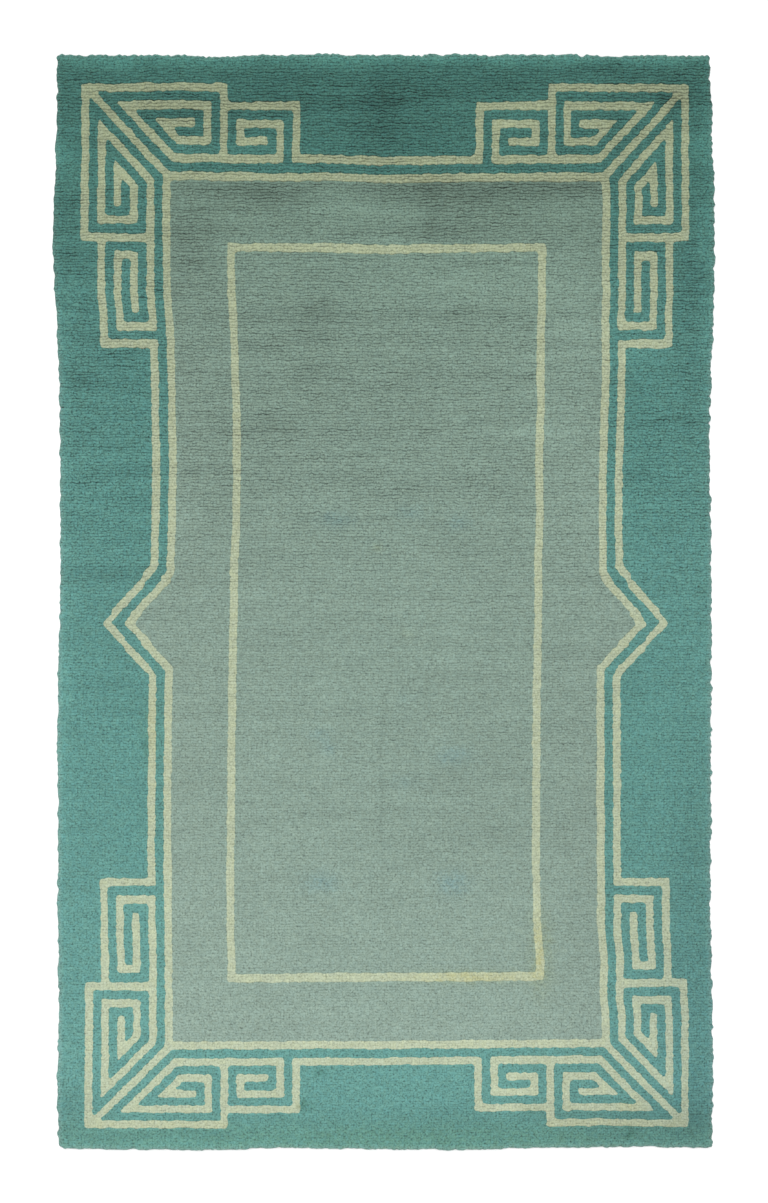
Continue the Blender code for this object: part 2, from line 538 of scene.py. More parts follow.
@dataclass(frozen=True)
class KnotChart:
    """The pattern as a chart of knots, counted from the outer corner of the key corners."""

    across: int = 227
    along: int = 363
    margin_side: int = 9
    margin_head: int = 10
    margin_foot: int = 8
    line: int = 3
    step: int = 6
    panel: int = 54
    slant_half: float = 2.1
    diagonal_shift: float = 0.5
    head_key_end: int = 81
    side_key_end: int = 90
    head_slants: tuple[float, float] = (8.5, 16.5)
    side_slants: tuple[float, float] = (7.5, 15.5)
    point_row: float = 181.8
    point_slope: float = 0.92
    outer_reach: float = 17.5
    inner_reach: float = 15.6
    outer_extra: float = 0.7
    inner_extra: float = 1.0

    @property
    def columns(self) -> int:
        """How many knots lie across the rug."""
        return self.across + 2 * self.margin_side

    @property
    def rows(self) -> int:
        """How many rows of knots the rug has."""
        return self.along + self.margin_head + self.margin_foot

    def pointed(self, p: np.ndarray, push: np.ndarray, level: int, extra: float) -> np.ndarray:
        """An upright line of the frame, pushed out to a point half way along the rug.

        Args:
            p: Knots from the side of the rug.
            push: How far each row is pushed out, below 0 where it is straight.
            level: Where the straight line's outer side is.
            extra: How many knots wider the slanting part is.

        Returns:
            True where a knot belongs to it.
        """
        outer_side = level - np.clip(push, 0, None)
        straight = level + self.line
        inner_side = np.where(push > 0, np.minimum(outer_side + self.line + extra, straight), straight)
        return (p >= outer_side) & (p < inner_side)

    def paint(self) -> np.ndarray:
        """Charts every knot.

        Returns:
            Rows from head to foot by columns from left to right, of Yarn values.
        """
        column = np.arange(self.columns) - self.margin_side + 0.5
        row = np.arange(self.rows) - self.margin_head + 0.5
        p, q = np.meshgrid(np.minimum(column, self.across - column), np.minimum(row, self.along - row))
        corner = CornerKnots(p, q, self.line, self.step, self.slant_half)
        outer, inner = 4 * self.step, 5 * self.step
        from_point = np.abs(row - self.point_row)[:, None]
        outer_push = self.outer_reach - self.point_slope * from_point
        inner_push = self.inner_reach - self.point_slope * from_point
        gap_head = (p >= self.head_key_end - self.step) & (p < self.head_key_end - self.line)
        gap_side = (q >= self.side_key_end - self.step) & (q < self.side_key_end - self.line)
        outer_head = corner.bar(outer, outer, self.across) & (p - q > 2 * self.line)
        outer_side = self.pointed(p, outer_push, outer, self.outer_extra) & (q - p > 2 * self.line - 1)
        ivory = (
            corner.keys(self.head_key_end, self.head_slants)
            | corner.turned.keys(self.side_key_end, self.side_slants)
            | corner.slant(self.diagonal_shift, 0, inner + 1) & (p > 0)
            | outer_head & ~gap_head
            | outer_side & ~gap_side
            | corner.bar(inner, inner, self.across)
            | self.pointed(p, inner_push, inner, self.inner_extra) & (q >= inner)
            | corner.bar(self.panel, self.panel, self.across)
            | corner.post(self.panel, self.panel, self.along)
        )
        inside = (p + np.clip(inner_push, 0, None) >= inner) & (q >= inner)
        chart = np.where(inside, Yarn.SAGE.value, Yarn.TEAL.value)
        return np.where(ivory, Yarn.IVORY.value, chart)


@dataclass(frozen=True)
class Edges:
    """The four edges of the pile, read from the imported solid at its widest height."""

    low: float = 5.0 * MM
    high: float = 9.5 * MM
    margin: float = 30.0 * MM
    corner_radii: tuple[tuple[float, float], ...] = ((18 * MM, 8 * MM), (8 * MM, 9 * MM))

    def points(self) -> np.ndarray:
        """Reads the solid's mesh.

        Returns:
            Its points at the widest height, as rows of x, y and z.
        """
        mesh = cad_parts["rug"].data
        points = np.empty(len(mesh.vertices) * 3, np.float32)
        mesh.vertices.foreach_get("co", points)
        points = points.reshape(-1, 3).astype(float)
        return points[(points[:, 2] > self.low) & (points[:, 2] < self.high)]

    def trace(self, axis: int, sign: int, stations: np.ndarray) -> np.ndarray:
        """Where one edge is at stations along it.

        Args:
            axis: 0 for a long side, 1 for an end.
            sign: -1 for the left side or the foot, 1 for the right side or the head.
            stations: Places along the edge.

        Returns:
            The edge's x at each station, or its y where it is an end.
        """
        points = self.points()
        along = 1 - axis
        near = np.abs(points[:, axis] - sign * cad_high[axis]) < self.margin
        away_from_corners = np.abs(points[:, along]) < cad_high[along] - self.margin
        kept = points[near & away_from_corners]
        kept = kept[np.argsort(kept[:, along])]
        return np.interp(stations, kept[:, along], kept[:, axis])


@dataclass
class Loom:
    """Where each warp and each row of knots lies: counted knots laid out at real sizes."""

    chart: KnotChart
    edges: Edges
    line_columns: tuple[float, ...] = (1.5, 28.5, 55.5, 171.5, 198.5, 225.5)
    line_xs: tuple[float, ...] = (-0.6776, -0.5083, -0.3430, 0.3537, 0.5202, 0.6874)
    beat_rows: tuple[float, ...] = (
        1.5, 10.5, 31.5, 55.5, 88.5, 181.5, 274.5, 307.5, 331.5, 346.5, 361.5,
    )
    beat_ys: tuple[float, ...] = (
        1.1734, 1.1106, 0.9690, 0.8073, 0.5877, -0.0463, -0.6390, -0.8566, -1.0110, -1.1030, -1.1910,
    )
    panel_carry: float = 0.3

    @property
    def columns(self) -> np.ndarray:
        """Half-knot steps across the rug, counted as in the chart."""
        return np.arange(2 * self.chart.columns + 1) / 2 - self.chart.margin_side

    @property
    def rows(self) -> np.ndarray:
        """Half-knot steps along the rug, counted as in the chart."""
        return np.arange(2 * self.chart.rows + 1) / 2 - self.chart.margin_head

    @property
    def known_rows(self) -> tuple[float, ...]:
        """The rows that are placed first, with the two ends of the rug."""
        return (-self.chart.margin_head, *self.beat_rows, self.chart.along + self.chart.margin_foot)

    def place_columns(self) -> np.ndarray:
        """Places every half-knot point across the rug, row by row.

        Returns:
            The x of each, rows by columns.
        """
        columns = self.columns
        margin = self.chart.margin_side
        known_columns = (-margin, *self.line_columns, self.chart.across + margin)
        heights = np.interp(self.rows, self.known_rows, (cad_high.y, *self.beat_ys, cad_low.y))
        left, right = (self.edges.trace(0, sign, heights) for sign in (-1, 1))
        xs = np.empty((len(heights), len(columns)))
        for j, y in enumerate(heights):
            lines = [x + move for x, move in zip(self.line_xs, drifts(WARP_DRIFT, y))]
            xs[j] = np.interp(columns, known_columns, (left[j], *lines, right[j]))
        return xs

    def place_rows(self) -> np.ndarray:
        """Places every half-knot point along the rug, column by column.

        Returns:
            The y of each, rows by columns.
        """
        rows = self.rows
        xs = np.interp(self.columns, self.line_columns, self.line_xs)
        head, foot = (self.edges.trace(1, sign, xs) for sign in (1, -1))
        ys = np.empty((len(rows), len(xs)))
        for i, x in enumerate(xs):
            bar, frame_line, panel, foot_panel, foot_frame, foot_bar = drifts(WEFT_DRIFT, x)
            near_head = (bar, (2 * bar + frame_line) / 3, frame_line, panel, self.panel_carry * panel)
            near_foot = (foot_panel, foot_frame, (foot_frame + foot_bar) / 2, foot_bar)
            lines = [y - move for y, move in zip(self.beat_ys, (*near_head, 0.0, 0.0, *near_foot))]
            ys[:, i] = np.interp(rows, self.known_rows, (head[i], *lines, foot[i]))
        return ys

    def lay_out(self) -> Moves:
        """The x and y of every half-knot point, corners still square."""
        return self.place_columns(), self.place_rows()

    def round_corners(
        self, x: np.ndarray, y: np.ndarray, square: np.ndarray, outset: float
    ) -> tuple[np.ndarray, np.ndarray, np.ndarray]:
        """Pulls points near the rug's corners in to their rounding.

        Args:
            x: Points' x.
            y: Points' y.
            square: The four square corners, two ends by two sides by x and y.
            outset: How far the outline has been moved out.

        Returns:
            The new x and y, and how far each point lies in from the outline.
        """
        deep = np.full(x.shape, np.inf)
        new_x, new_y = x.copy(), y.copy()
        for (end, side), radius in np.ndenumerate(np.array(self.edges.corner_radii) + outset):
            corner_x, corner_y = square[end, side]
            inward_x, inward_y = -CORNER_SIGNS[end, side]
            u = 1 - (x - corner_x) * inward_x / radius
            v = 1 - (y - corner_y) * inward_y / radius
            near = (u > 0) & (v > 0)
            u, v = np.clip(u, 0, 1), np.clip(v, 0, 1)
            round_u = u * np.sqrt(1 - v * v / 2)
            round_v = v * np.sqrt(1 - u * u / 2)
            new_x = np.where(near, corner_x + (1 - round_u) * radius * inward_x, new_x)
            new_y = np.where(near, corner_y + (1 - round_v) * radius * inward_y, new_y)
            deep = np.where(near, (1 - np.hypot(round_u, round_v)) * radius, deep)
        return new_x, new_y, deep


@dataclass
class Sheet:
    """Points, quads and named maps on their way to becoming a mesh."""

    points: np.ndarray
    quads: np.ndarray
    maps: dict[str, np.ndarray] = field(default_factory=dict)

    def only(self, quads: np.ndarray) -> "Sheet":
        """Cuts out part of the sheet.

        Args:
            quads: The quads to keep.

        Returns:
            A sheet of them and the points that they use.
        """
        used, index = np.unique(quads, return_inverse=True)
        maps = {name: values[used] for name, values in self.maps.items()}
        return Sheet(self.points[used], index.reshape(quads.shape), maps)

    def make(self, name: str, material: bpy.types.Material) -> bpy.types.Object:
        """Makes the Blender object.

        Args:
            name: Name of the object and its mesh.
            material: Its finish.

        Returns:
            The object, shaded smooth.
        """
        mesh = bpy.data.meshes.new(name)
        mesh.vertices.add(len(self.points))
        mesh.vertices.foreach_set("co", self.points.astype(np.float32).ravel())
        mesh.loops.add(self.quads.size)
        mesh.loops.foreach_set("vertex_index", self.quads.astype(np.int32).ravel())
        mesh.polygons.add(len(self.quads))
        mesh.polygons.foreach_set("loop_start", np.arange(0, self.quads.size, 4, dtype=np.int32))
        mesh.update(calc_edges=True)
        mesh.validate()
        for map_name, values in self.maps.items():
            layer = mesh.uv_layers.new(name=map_name, do_init=False)
            layer.data.foreach_set("uv", values[self.quads.ravel()].astype(np.float32).ravel())
        mesh.shade_smooth()
        mesh.materials.append(material)
        obj = bpy.data.objects.new(name, mesh)
        bpy.context.scene.collection.objects.link(obj)
        LOG.info("%s: %d triangles", name, 2 * len(self.quads))
        return obj


@dataclass
class Pile:
    """The cut wool pile: a tuft for every knot, in the three yarns, and its rounded rim.

    Its half-knot points alternate between the tips of tufts and the gaps round them.
    """

    chart: KnotChart
    loom: Loom
    top: float = 14.0 * MM
    belly: float = 7.4 * MM
    back_edge: float = 2.6 * MM
    shoulder: float = 6.0 * MM
    rim_rings: tuple[tuple[float, float], ...] = ((0.5, 0.6 * MM), (1.0, 3.0 * MM))
    rim_rib: float = 0.5 * MM
    rim_uneven: float = 0.3 * MM
    rim_depth: int = 6
    rim_map_step: float = 0.45
    held_at_rim: float = 0.25
    sunk: float = 0.6 * MM
    row_gap: float = 0.9 * MM
    row_parting: float = 1.2 * MM
    row_uneven: float = 1.0 * MM
    parted_share: float = 0.1
    looseness: float = 0.6
    looser_head: float = 0.7
    column_gap: float = 0.3 * MM
    column_uneven: float = 1.5 * MM
    tuft_uneven: float = 0.8 * MM
    tip_stray: float = 0.7 * MM
    tip_lean: float = 0.6 * MM
    draw_in: float = 0.5 * MM
    ease: float = 8.6 * MM
    least_lean: float = 0.1
    mark_blurs: tuple[tuple[int, float], ...] = ((22, 20 * MM), (5, 8 * MM))
    blur_along: float = 0.6
    seed: int = 11
    rng: np.random.Generator = field(init=False)
    x: np.ndarray = field(init=False)
    y: np.ndarray = field(init=False)
    shape: tuple[int, int] = field(init=False)
    towards_head: np.ndarray = field(init=False)
    yarns: np.ndarray = field(init=False)
    square: np.ndarray = field(init=False)
    out_x: np.ndarray = field(init=False)
    out_y: np.ndarray = field(init=False)

    def __post_init__(self) -> None:
        """Lays out the half-knot points, their yarns, and how the tufts round the rim stand out."""
        self.rng = np.random.default_rng(self.seed)
        self.x, self.y = self.loom.lay_out()
        self.shape = self.x.shape
        self.towards_head = 1 - np.indices(self.shape)[0] / self.shape[0]
        self.yarns = np.repeat(np.repeat(self.chart.paint(), 2, axis=0), 2, axis=1)
        self.square = np.array(
            [[[self.x[end, side], self.y[end, side]] for side in (0, -1)] for end in (-1, 0)]
        )
        self.out_x, self.out_y = self.stand_out()

    def edge_tufts(self, rng: np.random.Generator, name: str, count: int) -> np.ndarray:
        """How far the tufts along one edge stand out.

        Args:
            rng: Seeded source of the unevenness.
            name: The edge.
            count: How many points it has.

        Returns:
            The outward move of each point.
        """
        long, short = (soft_noise(rng, (count, 1), (length, 1))[:, 0] for length in (5, 2))
        tufts = RIM_TUFTS[name]
        return MM * (tufts.mean + tufts.uneven * long + tufts.ragged * short)

    def stand_out(self) -> Moves:
        """Lets the tufts round the rim stand out, less and less in from it.

        Returns:
            How far each point moves across and along the rug.
        """
        rng = np.random.default_rng(self.seed + 2)
        rows, columns = self.shape
        right, left = (self.edge_tufts(rng, name, rows)[:, None] for name in ("right", "left"))
        head, foot = (self.edge_tufts(rng, name, columns)[None, :] for name in ("head", "foot"))
        from_left, from_head = (np.clip(1 - np.arange(n) / self.rim_depth, 0, 1) for n in (columns, rows))
        across = right * from_left[::-1] - left * from_left
        along = head * from_head[:, None] - foot * from_head[::-1, None]
        return across, along

    def uneven(self, layers: tuple[Layer, ...]) -> np.ndarray:
        """Smooth unevenness, the sum of its layers.

        Args:
            layers: Its layers.

        Returns:
            A value in metres for each half-knot point.
        """
        total = np.zeros(self.shape)
        for layer in layers:
            size = layer.at_foot + layer.more_at_head * self.towards_head
            total += size * soft_noise(self.rng, self.shape, (layer.rows, layer.columns))
        return MM * total

    def depths(self) -> np.ndarray:
        """How far each half-knot point lies below the clipped face of the pile.

        Returns:
            The depths.
        """
        rng = self.rng
        row, column = np.indices(self.shape)
        in_row_gap, in_column_gap = row % 2 == 0, column % 2 == 0
        loose = self.looseness + self.looser_head * self.towards_head
        parted = np.clip(soft_noise(rng, self.shape, (2, 8)) + self.parted_share, 0, 1)
        row_gap = self.row_gap + self.row_parting * parted + self.row_uneven * rng.random(self.shape)
        column_gap = self.column_gap + self.column_uneven * rng.random(self.shape)
        worn = self.uneven(PILE_WEAR)
        tuft = rng.uniform(-self.tuft_uneven, self.tuft_uneven, self.shape)
        return (
            self.sunk
            + worn
            + np.where(in_row_gap, loose * row_gap, 0)
            + np.where(in_column_gap, column_gap, 0)
            + np.where(in_row_gap | in_column_gap, 0, tuft)
        )

    def wander(self) -> Moves:
        """How far each half-knot point strays from its place.

        Returns:
            The moves across and along the rug.
        """
        row, column = np.indices(self.shape)
        tip = (row % 2 == 1) & (column % 2 == 1)
        across, along = self.uneven(SWAY_ACROSS), self.uneven(SWAY_ALONG)
        stray_x, stray_y = self.rng.uniform(-self.tip_stray, self.tip_stray, (2, *self.shape))
        return across + np.where(tip, stray_x, 0), along + np.where(tip, stray_y - self.tip_lean, 0)

    def padded(self, yarn: Yarn, by: int) -> np.ndarray:
        """1 on the half-knot quads of a yarn and 0 on the others, with the outer ones repeated."""
        return np.pad(self.yarns == yarn.value, by, mode="edge").astype(float)

    def drawn_in(self) -> Moves:
        """How far the edges of ivory lines are drawn in where the teal tufts close over them.

        Returns:
            The moves across and along the rug.
        """
        ivory, teal = self.padded(Yarn.IVORY, 1), self.padded(Yarn.TEAL, 1)
        before, after = slice(None, -1), slice(1, None)
        across, along = np.zeros(self.shape), np.zeros(self.shape)
        for side in (before, after):
            across += ivory[side, after] * teal[side, before] - ivory[side, before] * teal[side, after]
            along += ivory[before, side] * teal[after, side] - ivory[after, side] * teal[before, side]
        return self.draw_in * across / 2, self.draw_in * along / 2

    def eased(self) -> Moves:
        """How far the stepped corners of ivory lines give way, as cut tufts spread and round them.

        Returns:
            The moves across and along the rug.
        """
        ivory = self.padded(Yarn.IVORY, 2)
        rows, columns = self.shape
        near = np.array([[ivory[r : r + rows, c : c + columns] for c in range(4)] for r in range(4)])
        touching = near[1:3, 1:3].mean(axis=(0, 1))
        share = near.mean(axis=(0, 1))
        lean_x = near[:, 2:].mean(axis=(0, 1)) - near[:, :2].mean(axis=(0, 1))
        lean_y = near[:2].mean(axis=(0, 1)) - near[2:].mean(axis=(0, 1))
        at_border = (touching > 0) & (touching < 1)
        lean = np.maximum(np.hypot(lean_x, lean_y), self.least_lean)
        move = np.where(at_border, self.ease * (0.5 - share), 0) / lean
        return move * lean_x, move * lean_y

    def marks(self) -> dict[str, np.ndarray]:
        """Maps of the painted shade and highlights where the pile leans, and of where the old marks lie,
        with uneven outlines.

        Returns:
            Two pairs of values for each half-knot point, by the map's name.
        """
        rng = np.random.default_rng(self.seed + 3)
        moved = []
        for cell, reach in self.mark_blurs:
            across, along = (reach * soft_noise(rng, self.shape, (cell, cell)) for _ in range(2))
            moved.append((self.x + across, self.y + self.blur_along * along))
        broad, fine = moved
        seen = PHOTO_MIDDLE_X + broad[0] / PHOTO_PIXEL, PHOTO_MIDDLE_Y - broad[1] / PHOTO_PIXEL
        lean_shading = laid(SHADED_PATCHES, *seen)
        blue, dark, yellow = (laid(spots, *fine) for spots in (BLUE_STAINS, DARK_STAINS, YELLOW_STAINS))
        pairs = {SHADING_MAP: (lean_shading, blue), MARKS_MAP: (dark, yellow)}
        return {name: np.stack(pair, axis=-1).reshape(-1, 2) for name, pair in pairs.items()}

    def surface(self) -> Sheet:
        """Builds the whole clipped face of the pile.

        Returns:
            A sheet of half-knot points, its quads in rows and columns.
        """
        x, y = self.x, self.y
        inside_x, inside_y = np.minimum(x - x[:, :1], x[:, -1:] - x), np.minimum(y - y[-1:], y[:1] - y)
        x, y, corner_inside = self.loom.round_corners(x, y, self.square, 0.0)
        inside = np.clip(np.minimum(np.minimum(inside_x, inside_y), corner_inside), 0, None)
        moves = self.wander(), self.drawn_in(), self.eased()
        across, along = (sum(parts) for parts in zip(*moves))
        free = np.clip(inside / (2 * self.shoulder), 0, 1)
        rolled = 1 - np.clip(inside / self.shoulder, 0, 1)
        z = self.belly + (self.top - self.belly) * np.sqrt(1 - rolled**2)
        z -= self.depths() * (self.held_at_rim + (1 - self.held_at_rim) * free)
        x = x + across * free + self.out_x
        y = y + along * free + self.out_y
        row, column = np.indices(self.shape)
        places = np.stack([column, row], axis=-1).reshape(-1, 2) / 2
        points = np.stack([x, y, z], axis=-1).reshape(-1, 3)
        return Sheet(points, grid_quads(self.shape), {KNOT_MAP: places} | self.marks())

    def yarn_pieces(self, whole: Sheet) -> list[tuple[str, Yarn, Sheet]]:
        """Splits the face into its yarns, the two wide ones in two lengths.

        Args:
            whole: The whole face of the pile.

        Returns:
            Name, yarn and sheet of each piece.
        """
        rows = self.yarns.shape[0]
        at_head = np.arange(rows)[:, None] < rows // 2
        halves = {"head": at_head, "foot": ~at_head}
        pieces = []
        for yarn, parts in ((Yarn.TEAL, halves), (Yarn.SAGE, halves), (Yarn.IVORY, {"lines": True})):
            for part, where in parts.items():
                piece = whole.only(whole.quads[(self.yarns == yarn.value) & where])
                piece.maps[BAKE_MAP] = bake_map(piece.maps[KNOT_MAP])
                pieces.append((f"pile_{yarn.name.lower()}_{part}", yarn, piece))
        return pieces

    def rim(self, whole: Sheet) -> Sheet:
        """The side of the pile, from its rim down and in to the edge of the woven back.

        Args:
            whole: The whole face of the pile.

        Returns:
            The side as a sheet of rings.
        """
        loop = rim_loop(self.shape)
        count = len(loop)
        x, y, move_x, move_y = (values.ravel()[loop] for values in (self.x, self.y, self.out_x, self.out_y))
        rows, columns = self.shape
        row, column = loop // columns, loop % columns
        out_x = np.where(column == 0, -1, 0) + np.where(column == columns - 1, 1, 0)
        out_y = np.where(row == 0, 1, 0) + np.where(row == rows - 1, -1, 0)
        rng = np.random.default_rng(self.seed + 1)
        rings = [whole.points[loop]]
        maps = [whole.maps[KNOT_MAP][loop]]
        ribs = self.rim_rib * np.where(np.arange(count) % 2 == 0, -1, 1)
        for step, (drop, inset) in enumerate(self.rim_rings, start=1):
            ring_x, ring_y, _ = self.loom.round_corners(
                x - out_x * inset, y - out_y * inset, self.square - inset * CORNER_SIGNS, -inset
            )
            uneven = ribs + rng.uniform(-self.rim_uneven, self.rim_uneven, count)
            ring_x, ring_y = ring_x + move_x + out_x * uneven, ring_y + move_y + out_y * uneven
            ring_z = np.full(count, self.belly + (self.back_edge - self.belly) * drop)
            rings.append(np.stack([ring_x, ring_y, ring_z], axis=-1))
            maps.append(maps[0] + self.rim_map_step * step * np.stack([out_x, -out_y], axis=-1))
        start = np.arange(count)
        quads = [band_quads(start + k * count, start + (k + 1) * count) for k in range(len(self.rim_rings))]
        side = Sheet(np.concatenate(rings), np.concatenate(quads), {KNOT_MAP: np.concatenate(maps)})
        side.maps[BAKE_MAP] = bake_map(side.maps[KNOT_MAP])
        for name in (SHADING_MAP, MARKS_MAP):
            side.maps[name] = np.tile(whole.maps[name][loop], (len(rings), 1))
        return side


@dataclass
class WovenBack:
    """The woven back under the pile: a thin closed slab, inset under the pile's overhang."""

    loom: Loom
    thickness: float = 3.0 * MM
    inset: float = 3.0 * MM
    every_row: int = 6
    every_column: int = 5

    def sheet(self, square: np.ndarray) -> Sheet:
        """The back's closed surface.

        Args:
            square: The rug's four square corners.

        Returns:
            Its upper and lower faces and the narrow side between them.
        """
        x, y = (values[:: self.every_row, :: self.every_column] for values in self.loom.lay_out())
        rows, columns = x.shape
        x = x + self.inset * np.linspace(1, -1, columns)[None, :]
        y = y + self.inset * np.linspace(-1, 1, rows)[:, None]
        x, y, _ = self.loom.round_corners(x, y, square - self.inset * CORNER_SIGNS, -self.inset)
        flat = np.stack([x, y], axis=-1).reshape(-1, 2)
        below = len(flat)
        points = [np.column_stack([flat, np.full(below, z)]) for z in (self.thickness, 0.0)]
        face = grid_quads(x.shape).reshape(-1, 4)
        loop = rim_loop(x.shape)
        quads = np.concatenate([face, face[:, ::-1] + below, band_quads(loop, loop + below)])
        return Sheet(np.concatenate(points), quads)


class Wiring:
    """Adds nodes to a tree and joins them, so that a material reads as a list of steps."""

    def __init__(self, tree: bpy.types.NodeTree) -> None:
        """Takes the node tree to work in."""
        self.tree = tree

    def put(self, kind: str, inputs: dict | None = None, **settings: object) -> bpy.types.Node:
        """Adds a node.

        Args:
            kind: Its type, without the leading ShaderNode.
            inputs: Value or socket for each input, by name or number.
            settings: Attributes of the node.

        Returns:
            The node.
        """
        node = self.tree.nodes.new("ShaderNode" + kind)
        for name, value in settings.items():
            setattr(node, name, value)
        for key, value in (inputs or {}).items():
            self.join(node.inputs[key], value)
        return node

    def join(self, target: Socket, value: object) -> None:
        """Links a socket to an input, or sets the input's value."""
        if isinstance(value, Socket):
            self.tree.links.new(value, target)
        else:
            target.default_value = value

    def math(self, operation: str, *values: object) -> Socket:
        """A number worked out from up to three values or sockets."""
        return self.put("Math", dict(enumerate(values)), operation=operation).outputs[0]

    def times(self, first: object, second: object) -> Socket:
        """The product of two numbers."""
        return self.math("MULTIPLY", first, second)

    def less(self, first: object, second: object) -> Socket:
        """The first number less the second."""
        return self.math("SUBTRACT", first, second)

    def vector(self, operation: str, *values: object) -> Socket:
        """A vector worked out from up to three values or sockets."""
        return self.put("VectorMath", dict(enumerate(values)), operation=operation).outputs[0]

    def tinted(self, vector: object, factors: Triple) -> Socket:
        """A colour or a place with each of its parts multiplied by a factor."""
        return self.vector("MULTIPLY", vector, factors)

    def parts(self, vector: object) -> list[Socket]:
        """The three numbers of a vector."""
        return list(self.put("SeparateXYZ", {0: vector}).outputs)

    def uv(self, name: str) -> Socket:
        """One of the mesh's maps."""
        return self.put("UVMap", uv_map=name).outputs[0]

    def remap(self, value: object, *bounds: float) -> Socket:
        """A value moved smoothly from one range to another, and held there."""
        inputs = dict(enumerate((value, *bounds)))
        return self.put("MapRange", inputs, interpolation_type="SMOOTHSTEP").outputs[0]

    def noise(self, place: object, scale: float = 1.0, detail: float = 2.0, rough: float = 0.5) -> Socket:
        """A noise value at a place."""
        inputs = {"Vector": place, "Scale": scale, "Detail": detail, "Roughness": rough}
        return self.put("TexNoise", inputs).outputs[0]

    def noises(self, place: object, scale: float, detail: float) -> Socket:
        """Three noise values at a place."""
        return self.put("TexNoise", {"Vector": place, "Scale": scale, "Detail": detail}).outputs["Color"]

    def mix(self, share: object, first: object, second: object) -> Socket:
        """A colour between two."""
        return self.put("Mix", {0: share, 6: first, 7: second}, data_type="RGBA").outputs[2]


class GroupWiring(Wiring):
    """The wiring inside a new node group with named sockets."""

    def __init__(self, name: str, inputs: dict[str, float | str], outputs: tuple[str, ...]) -> None:
        """Makes the group.

        Args:
            name: The group's name.
            inputs: Each input's default value, or "vector" for a place.
            outputs: Names of its number outputs.
        """
        super().__init__(bpy.data.node_groups.new(name, "ShaderNodeTree"))
        for label, value in inputs.items():
            kind = "NodeSocketVector" if value == "vector" else "NodeSocketFloat"
            socket = self.tree.interface.new_socket(name=label, in_out="INPUT", socket_type=kind)
            if value != "vector":
                socket.default_value = value
        for label in outputs:
            self.tree.interface.new_socket(name=label, in_out="OUTPUT", socket_type="NodeSocketFloat")
        self.given = self.tree.nodes.new("NodeGroupInput").outputs
        self.out = self.tree.nodes.new("NodeGroupOutput").inputs

    def give(self, results: dict[str, Socket]) -> bpy.types.NodeTree:
        """Joins the group's outputs by name and returns the group."""
        for label, result in results.items():
            self.join(self.out[label], result)
        return self.tree


class MaterialWiring(Wiring):
    """The wiring of a new material."""

    def __init__(self, name: str) -> None:
        """Makes the material with its shader."""
        self.material = bpy.data.materials.new(name)
        self.material.use_nodes = True
        super().__init__(self.material.node_tree)

    def effect(self, group: bpy.types.NodeTree, inputs: dict[str, object]) -> bpy.types.NodeOutputs:
        """The outputs of a shared effect with these inputs."""
        return self.put("Group", inputs, node_tree=group).outputs

    def coat(self, looks: dict[str, object]) -> bpy.types.Material:
        """Joins or sets the shader's inputs by name and returns the material."""
        for label, value in looks.items():
            self.join(self.tree.nodes["Principled BSDF"].inputs[label], value)
        return self.material


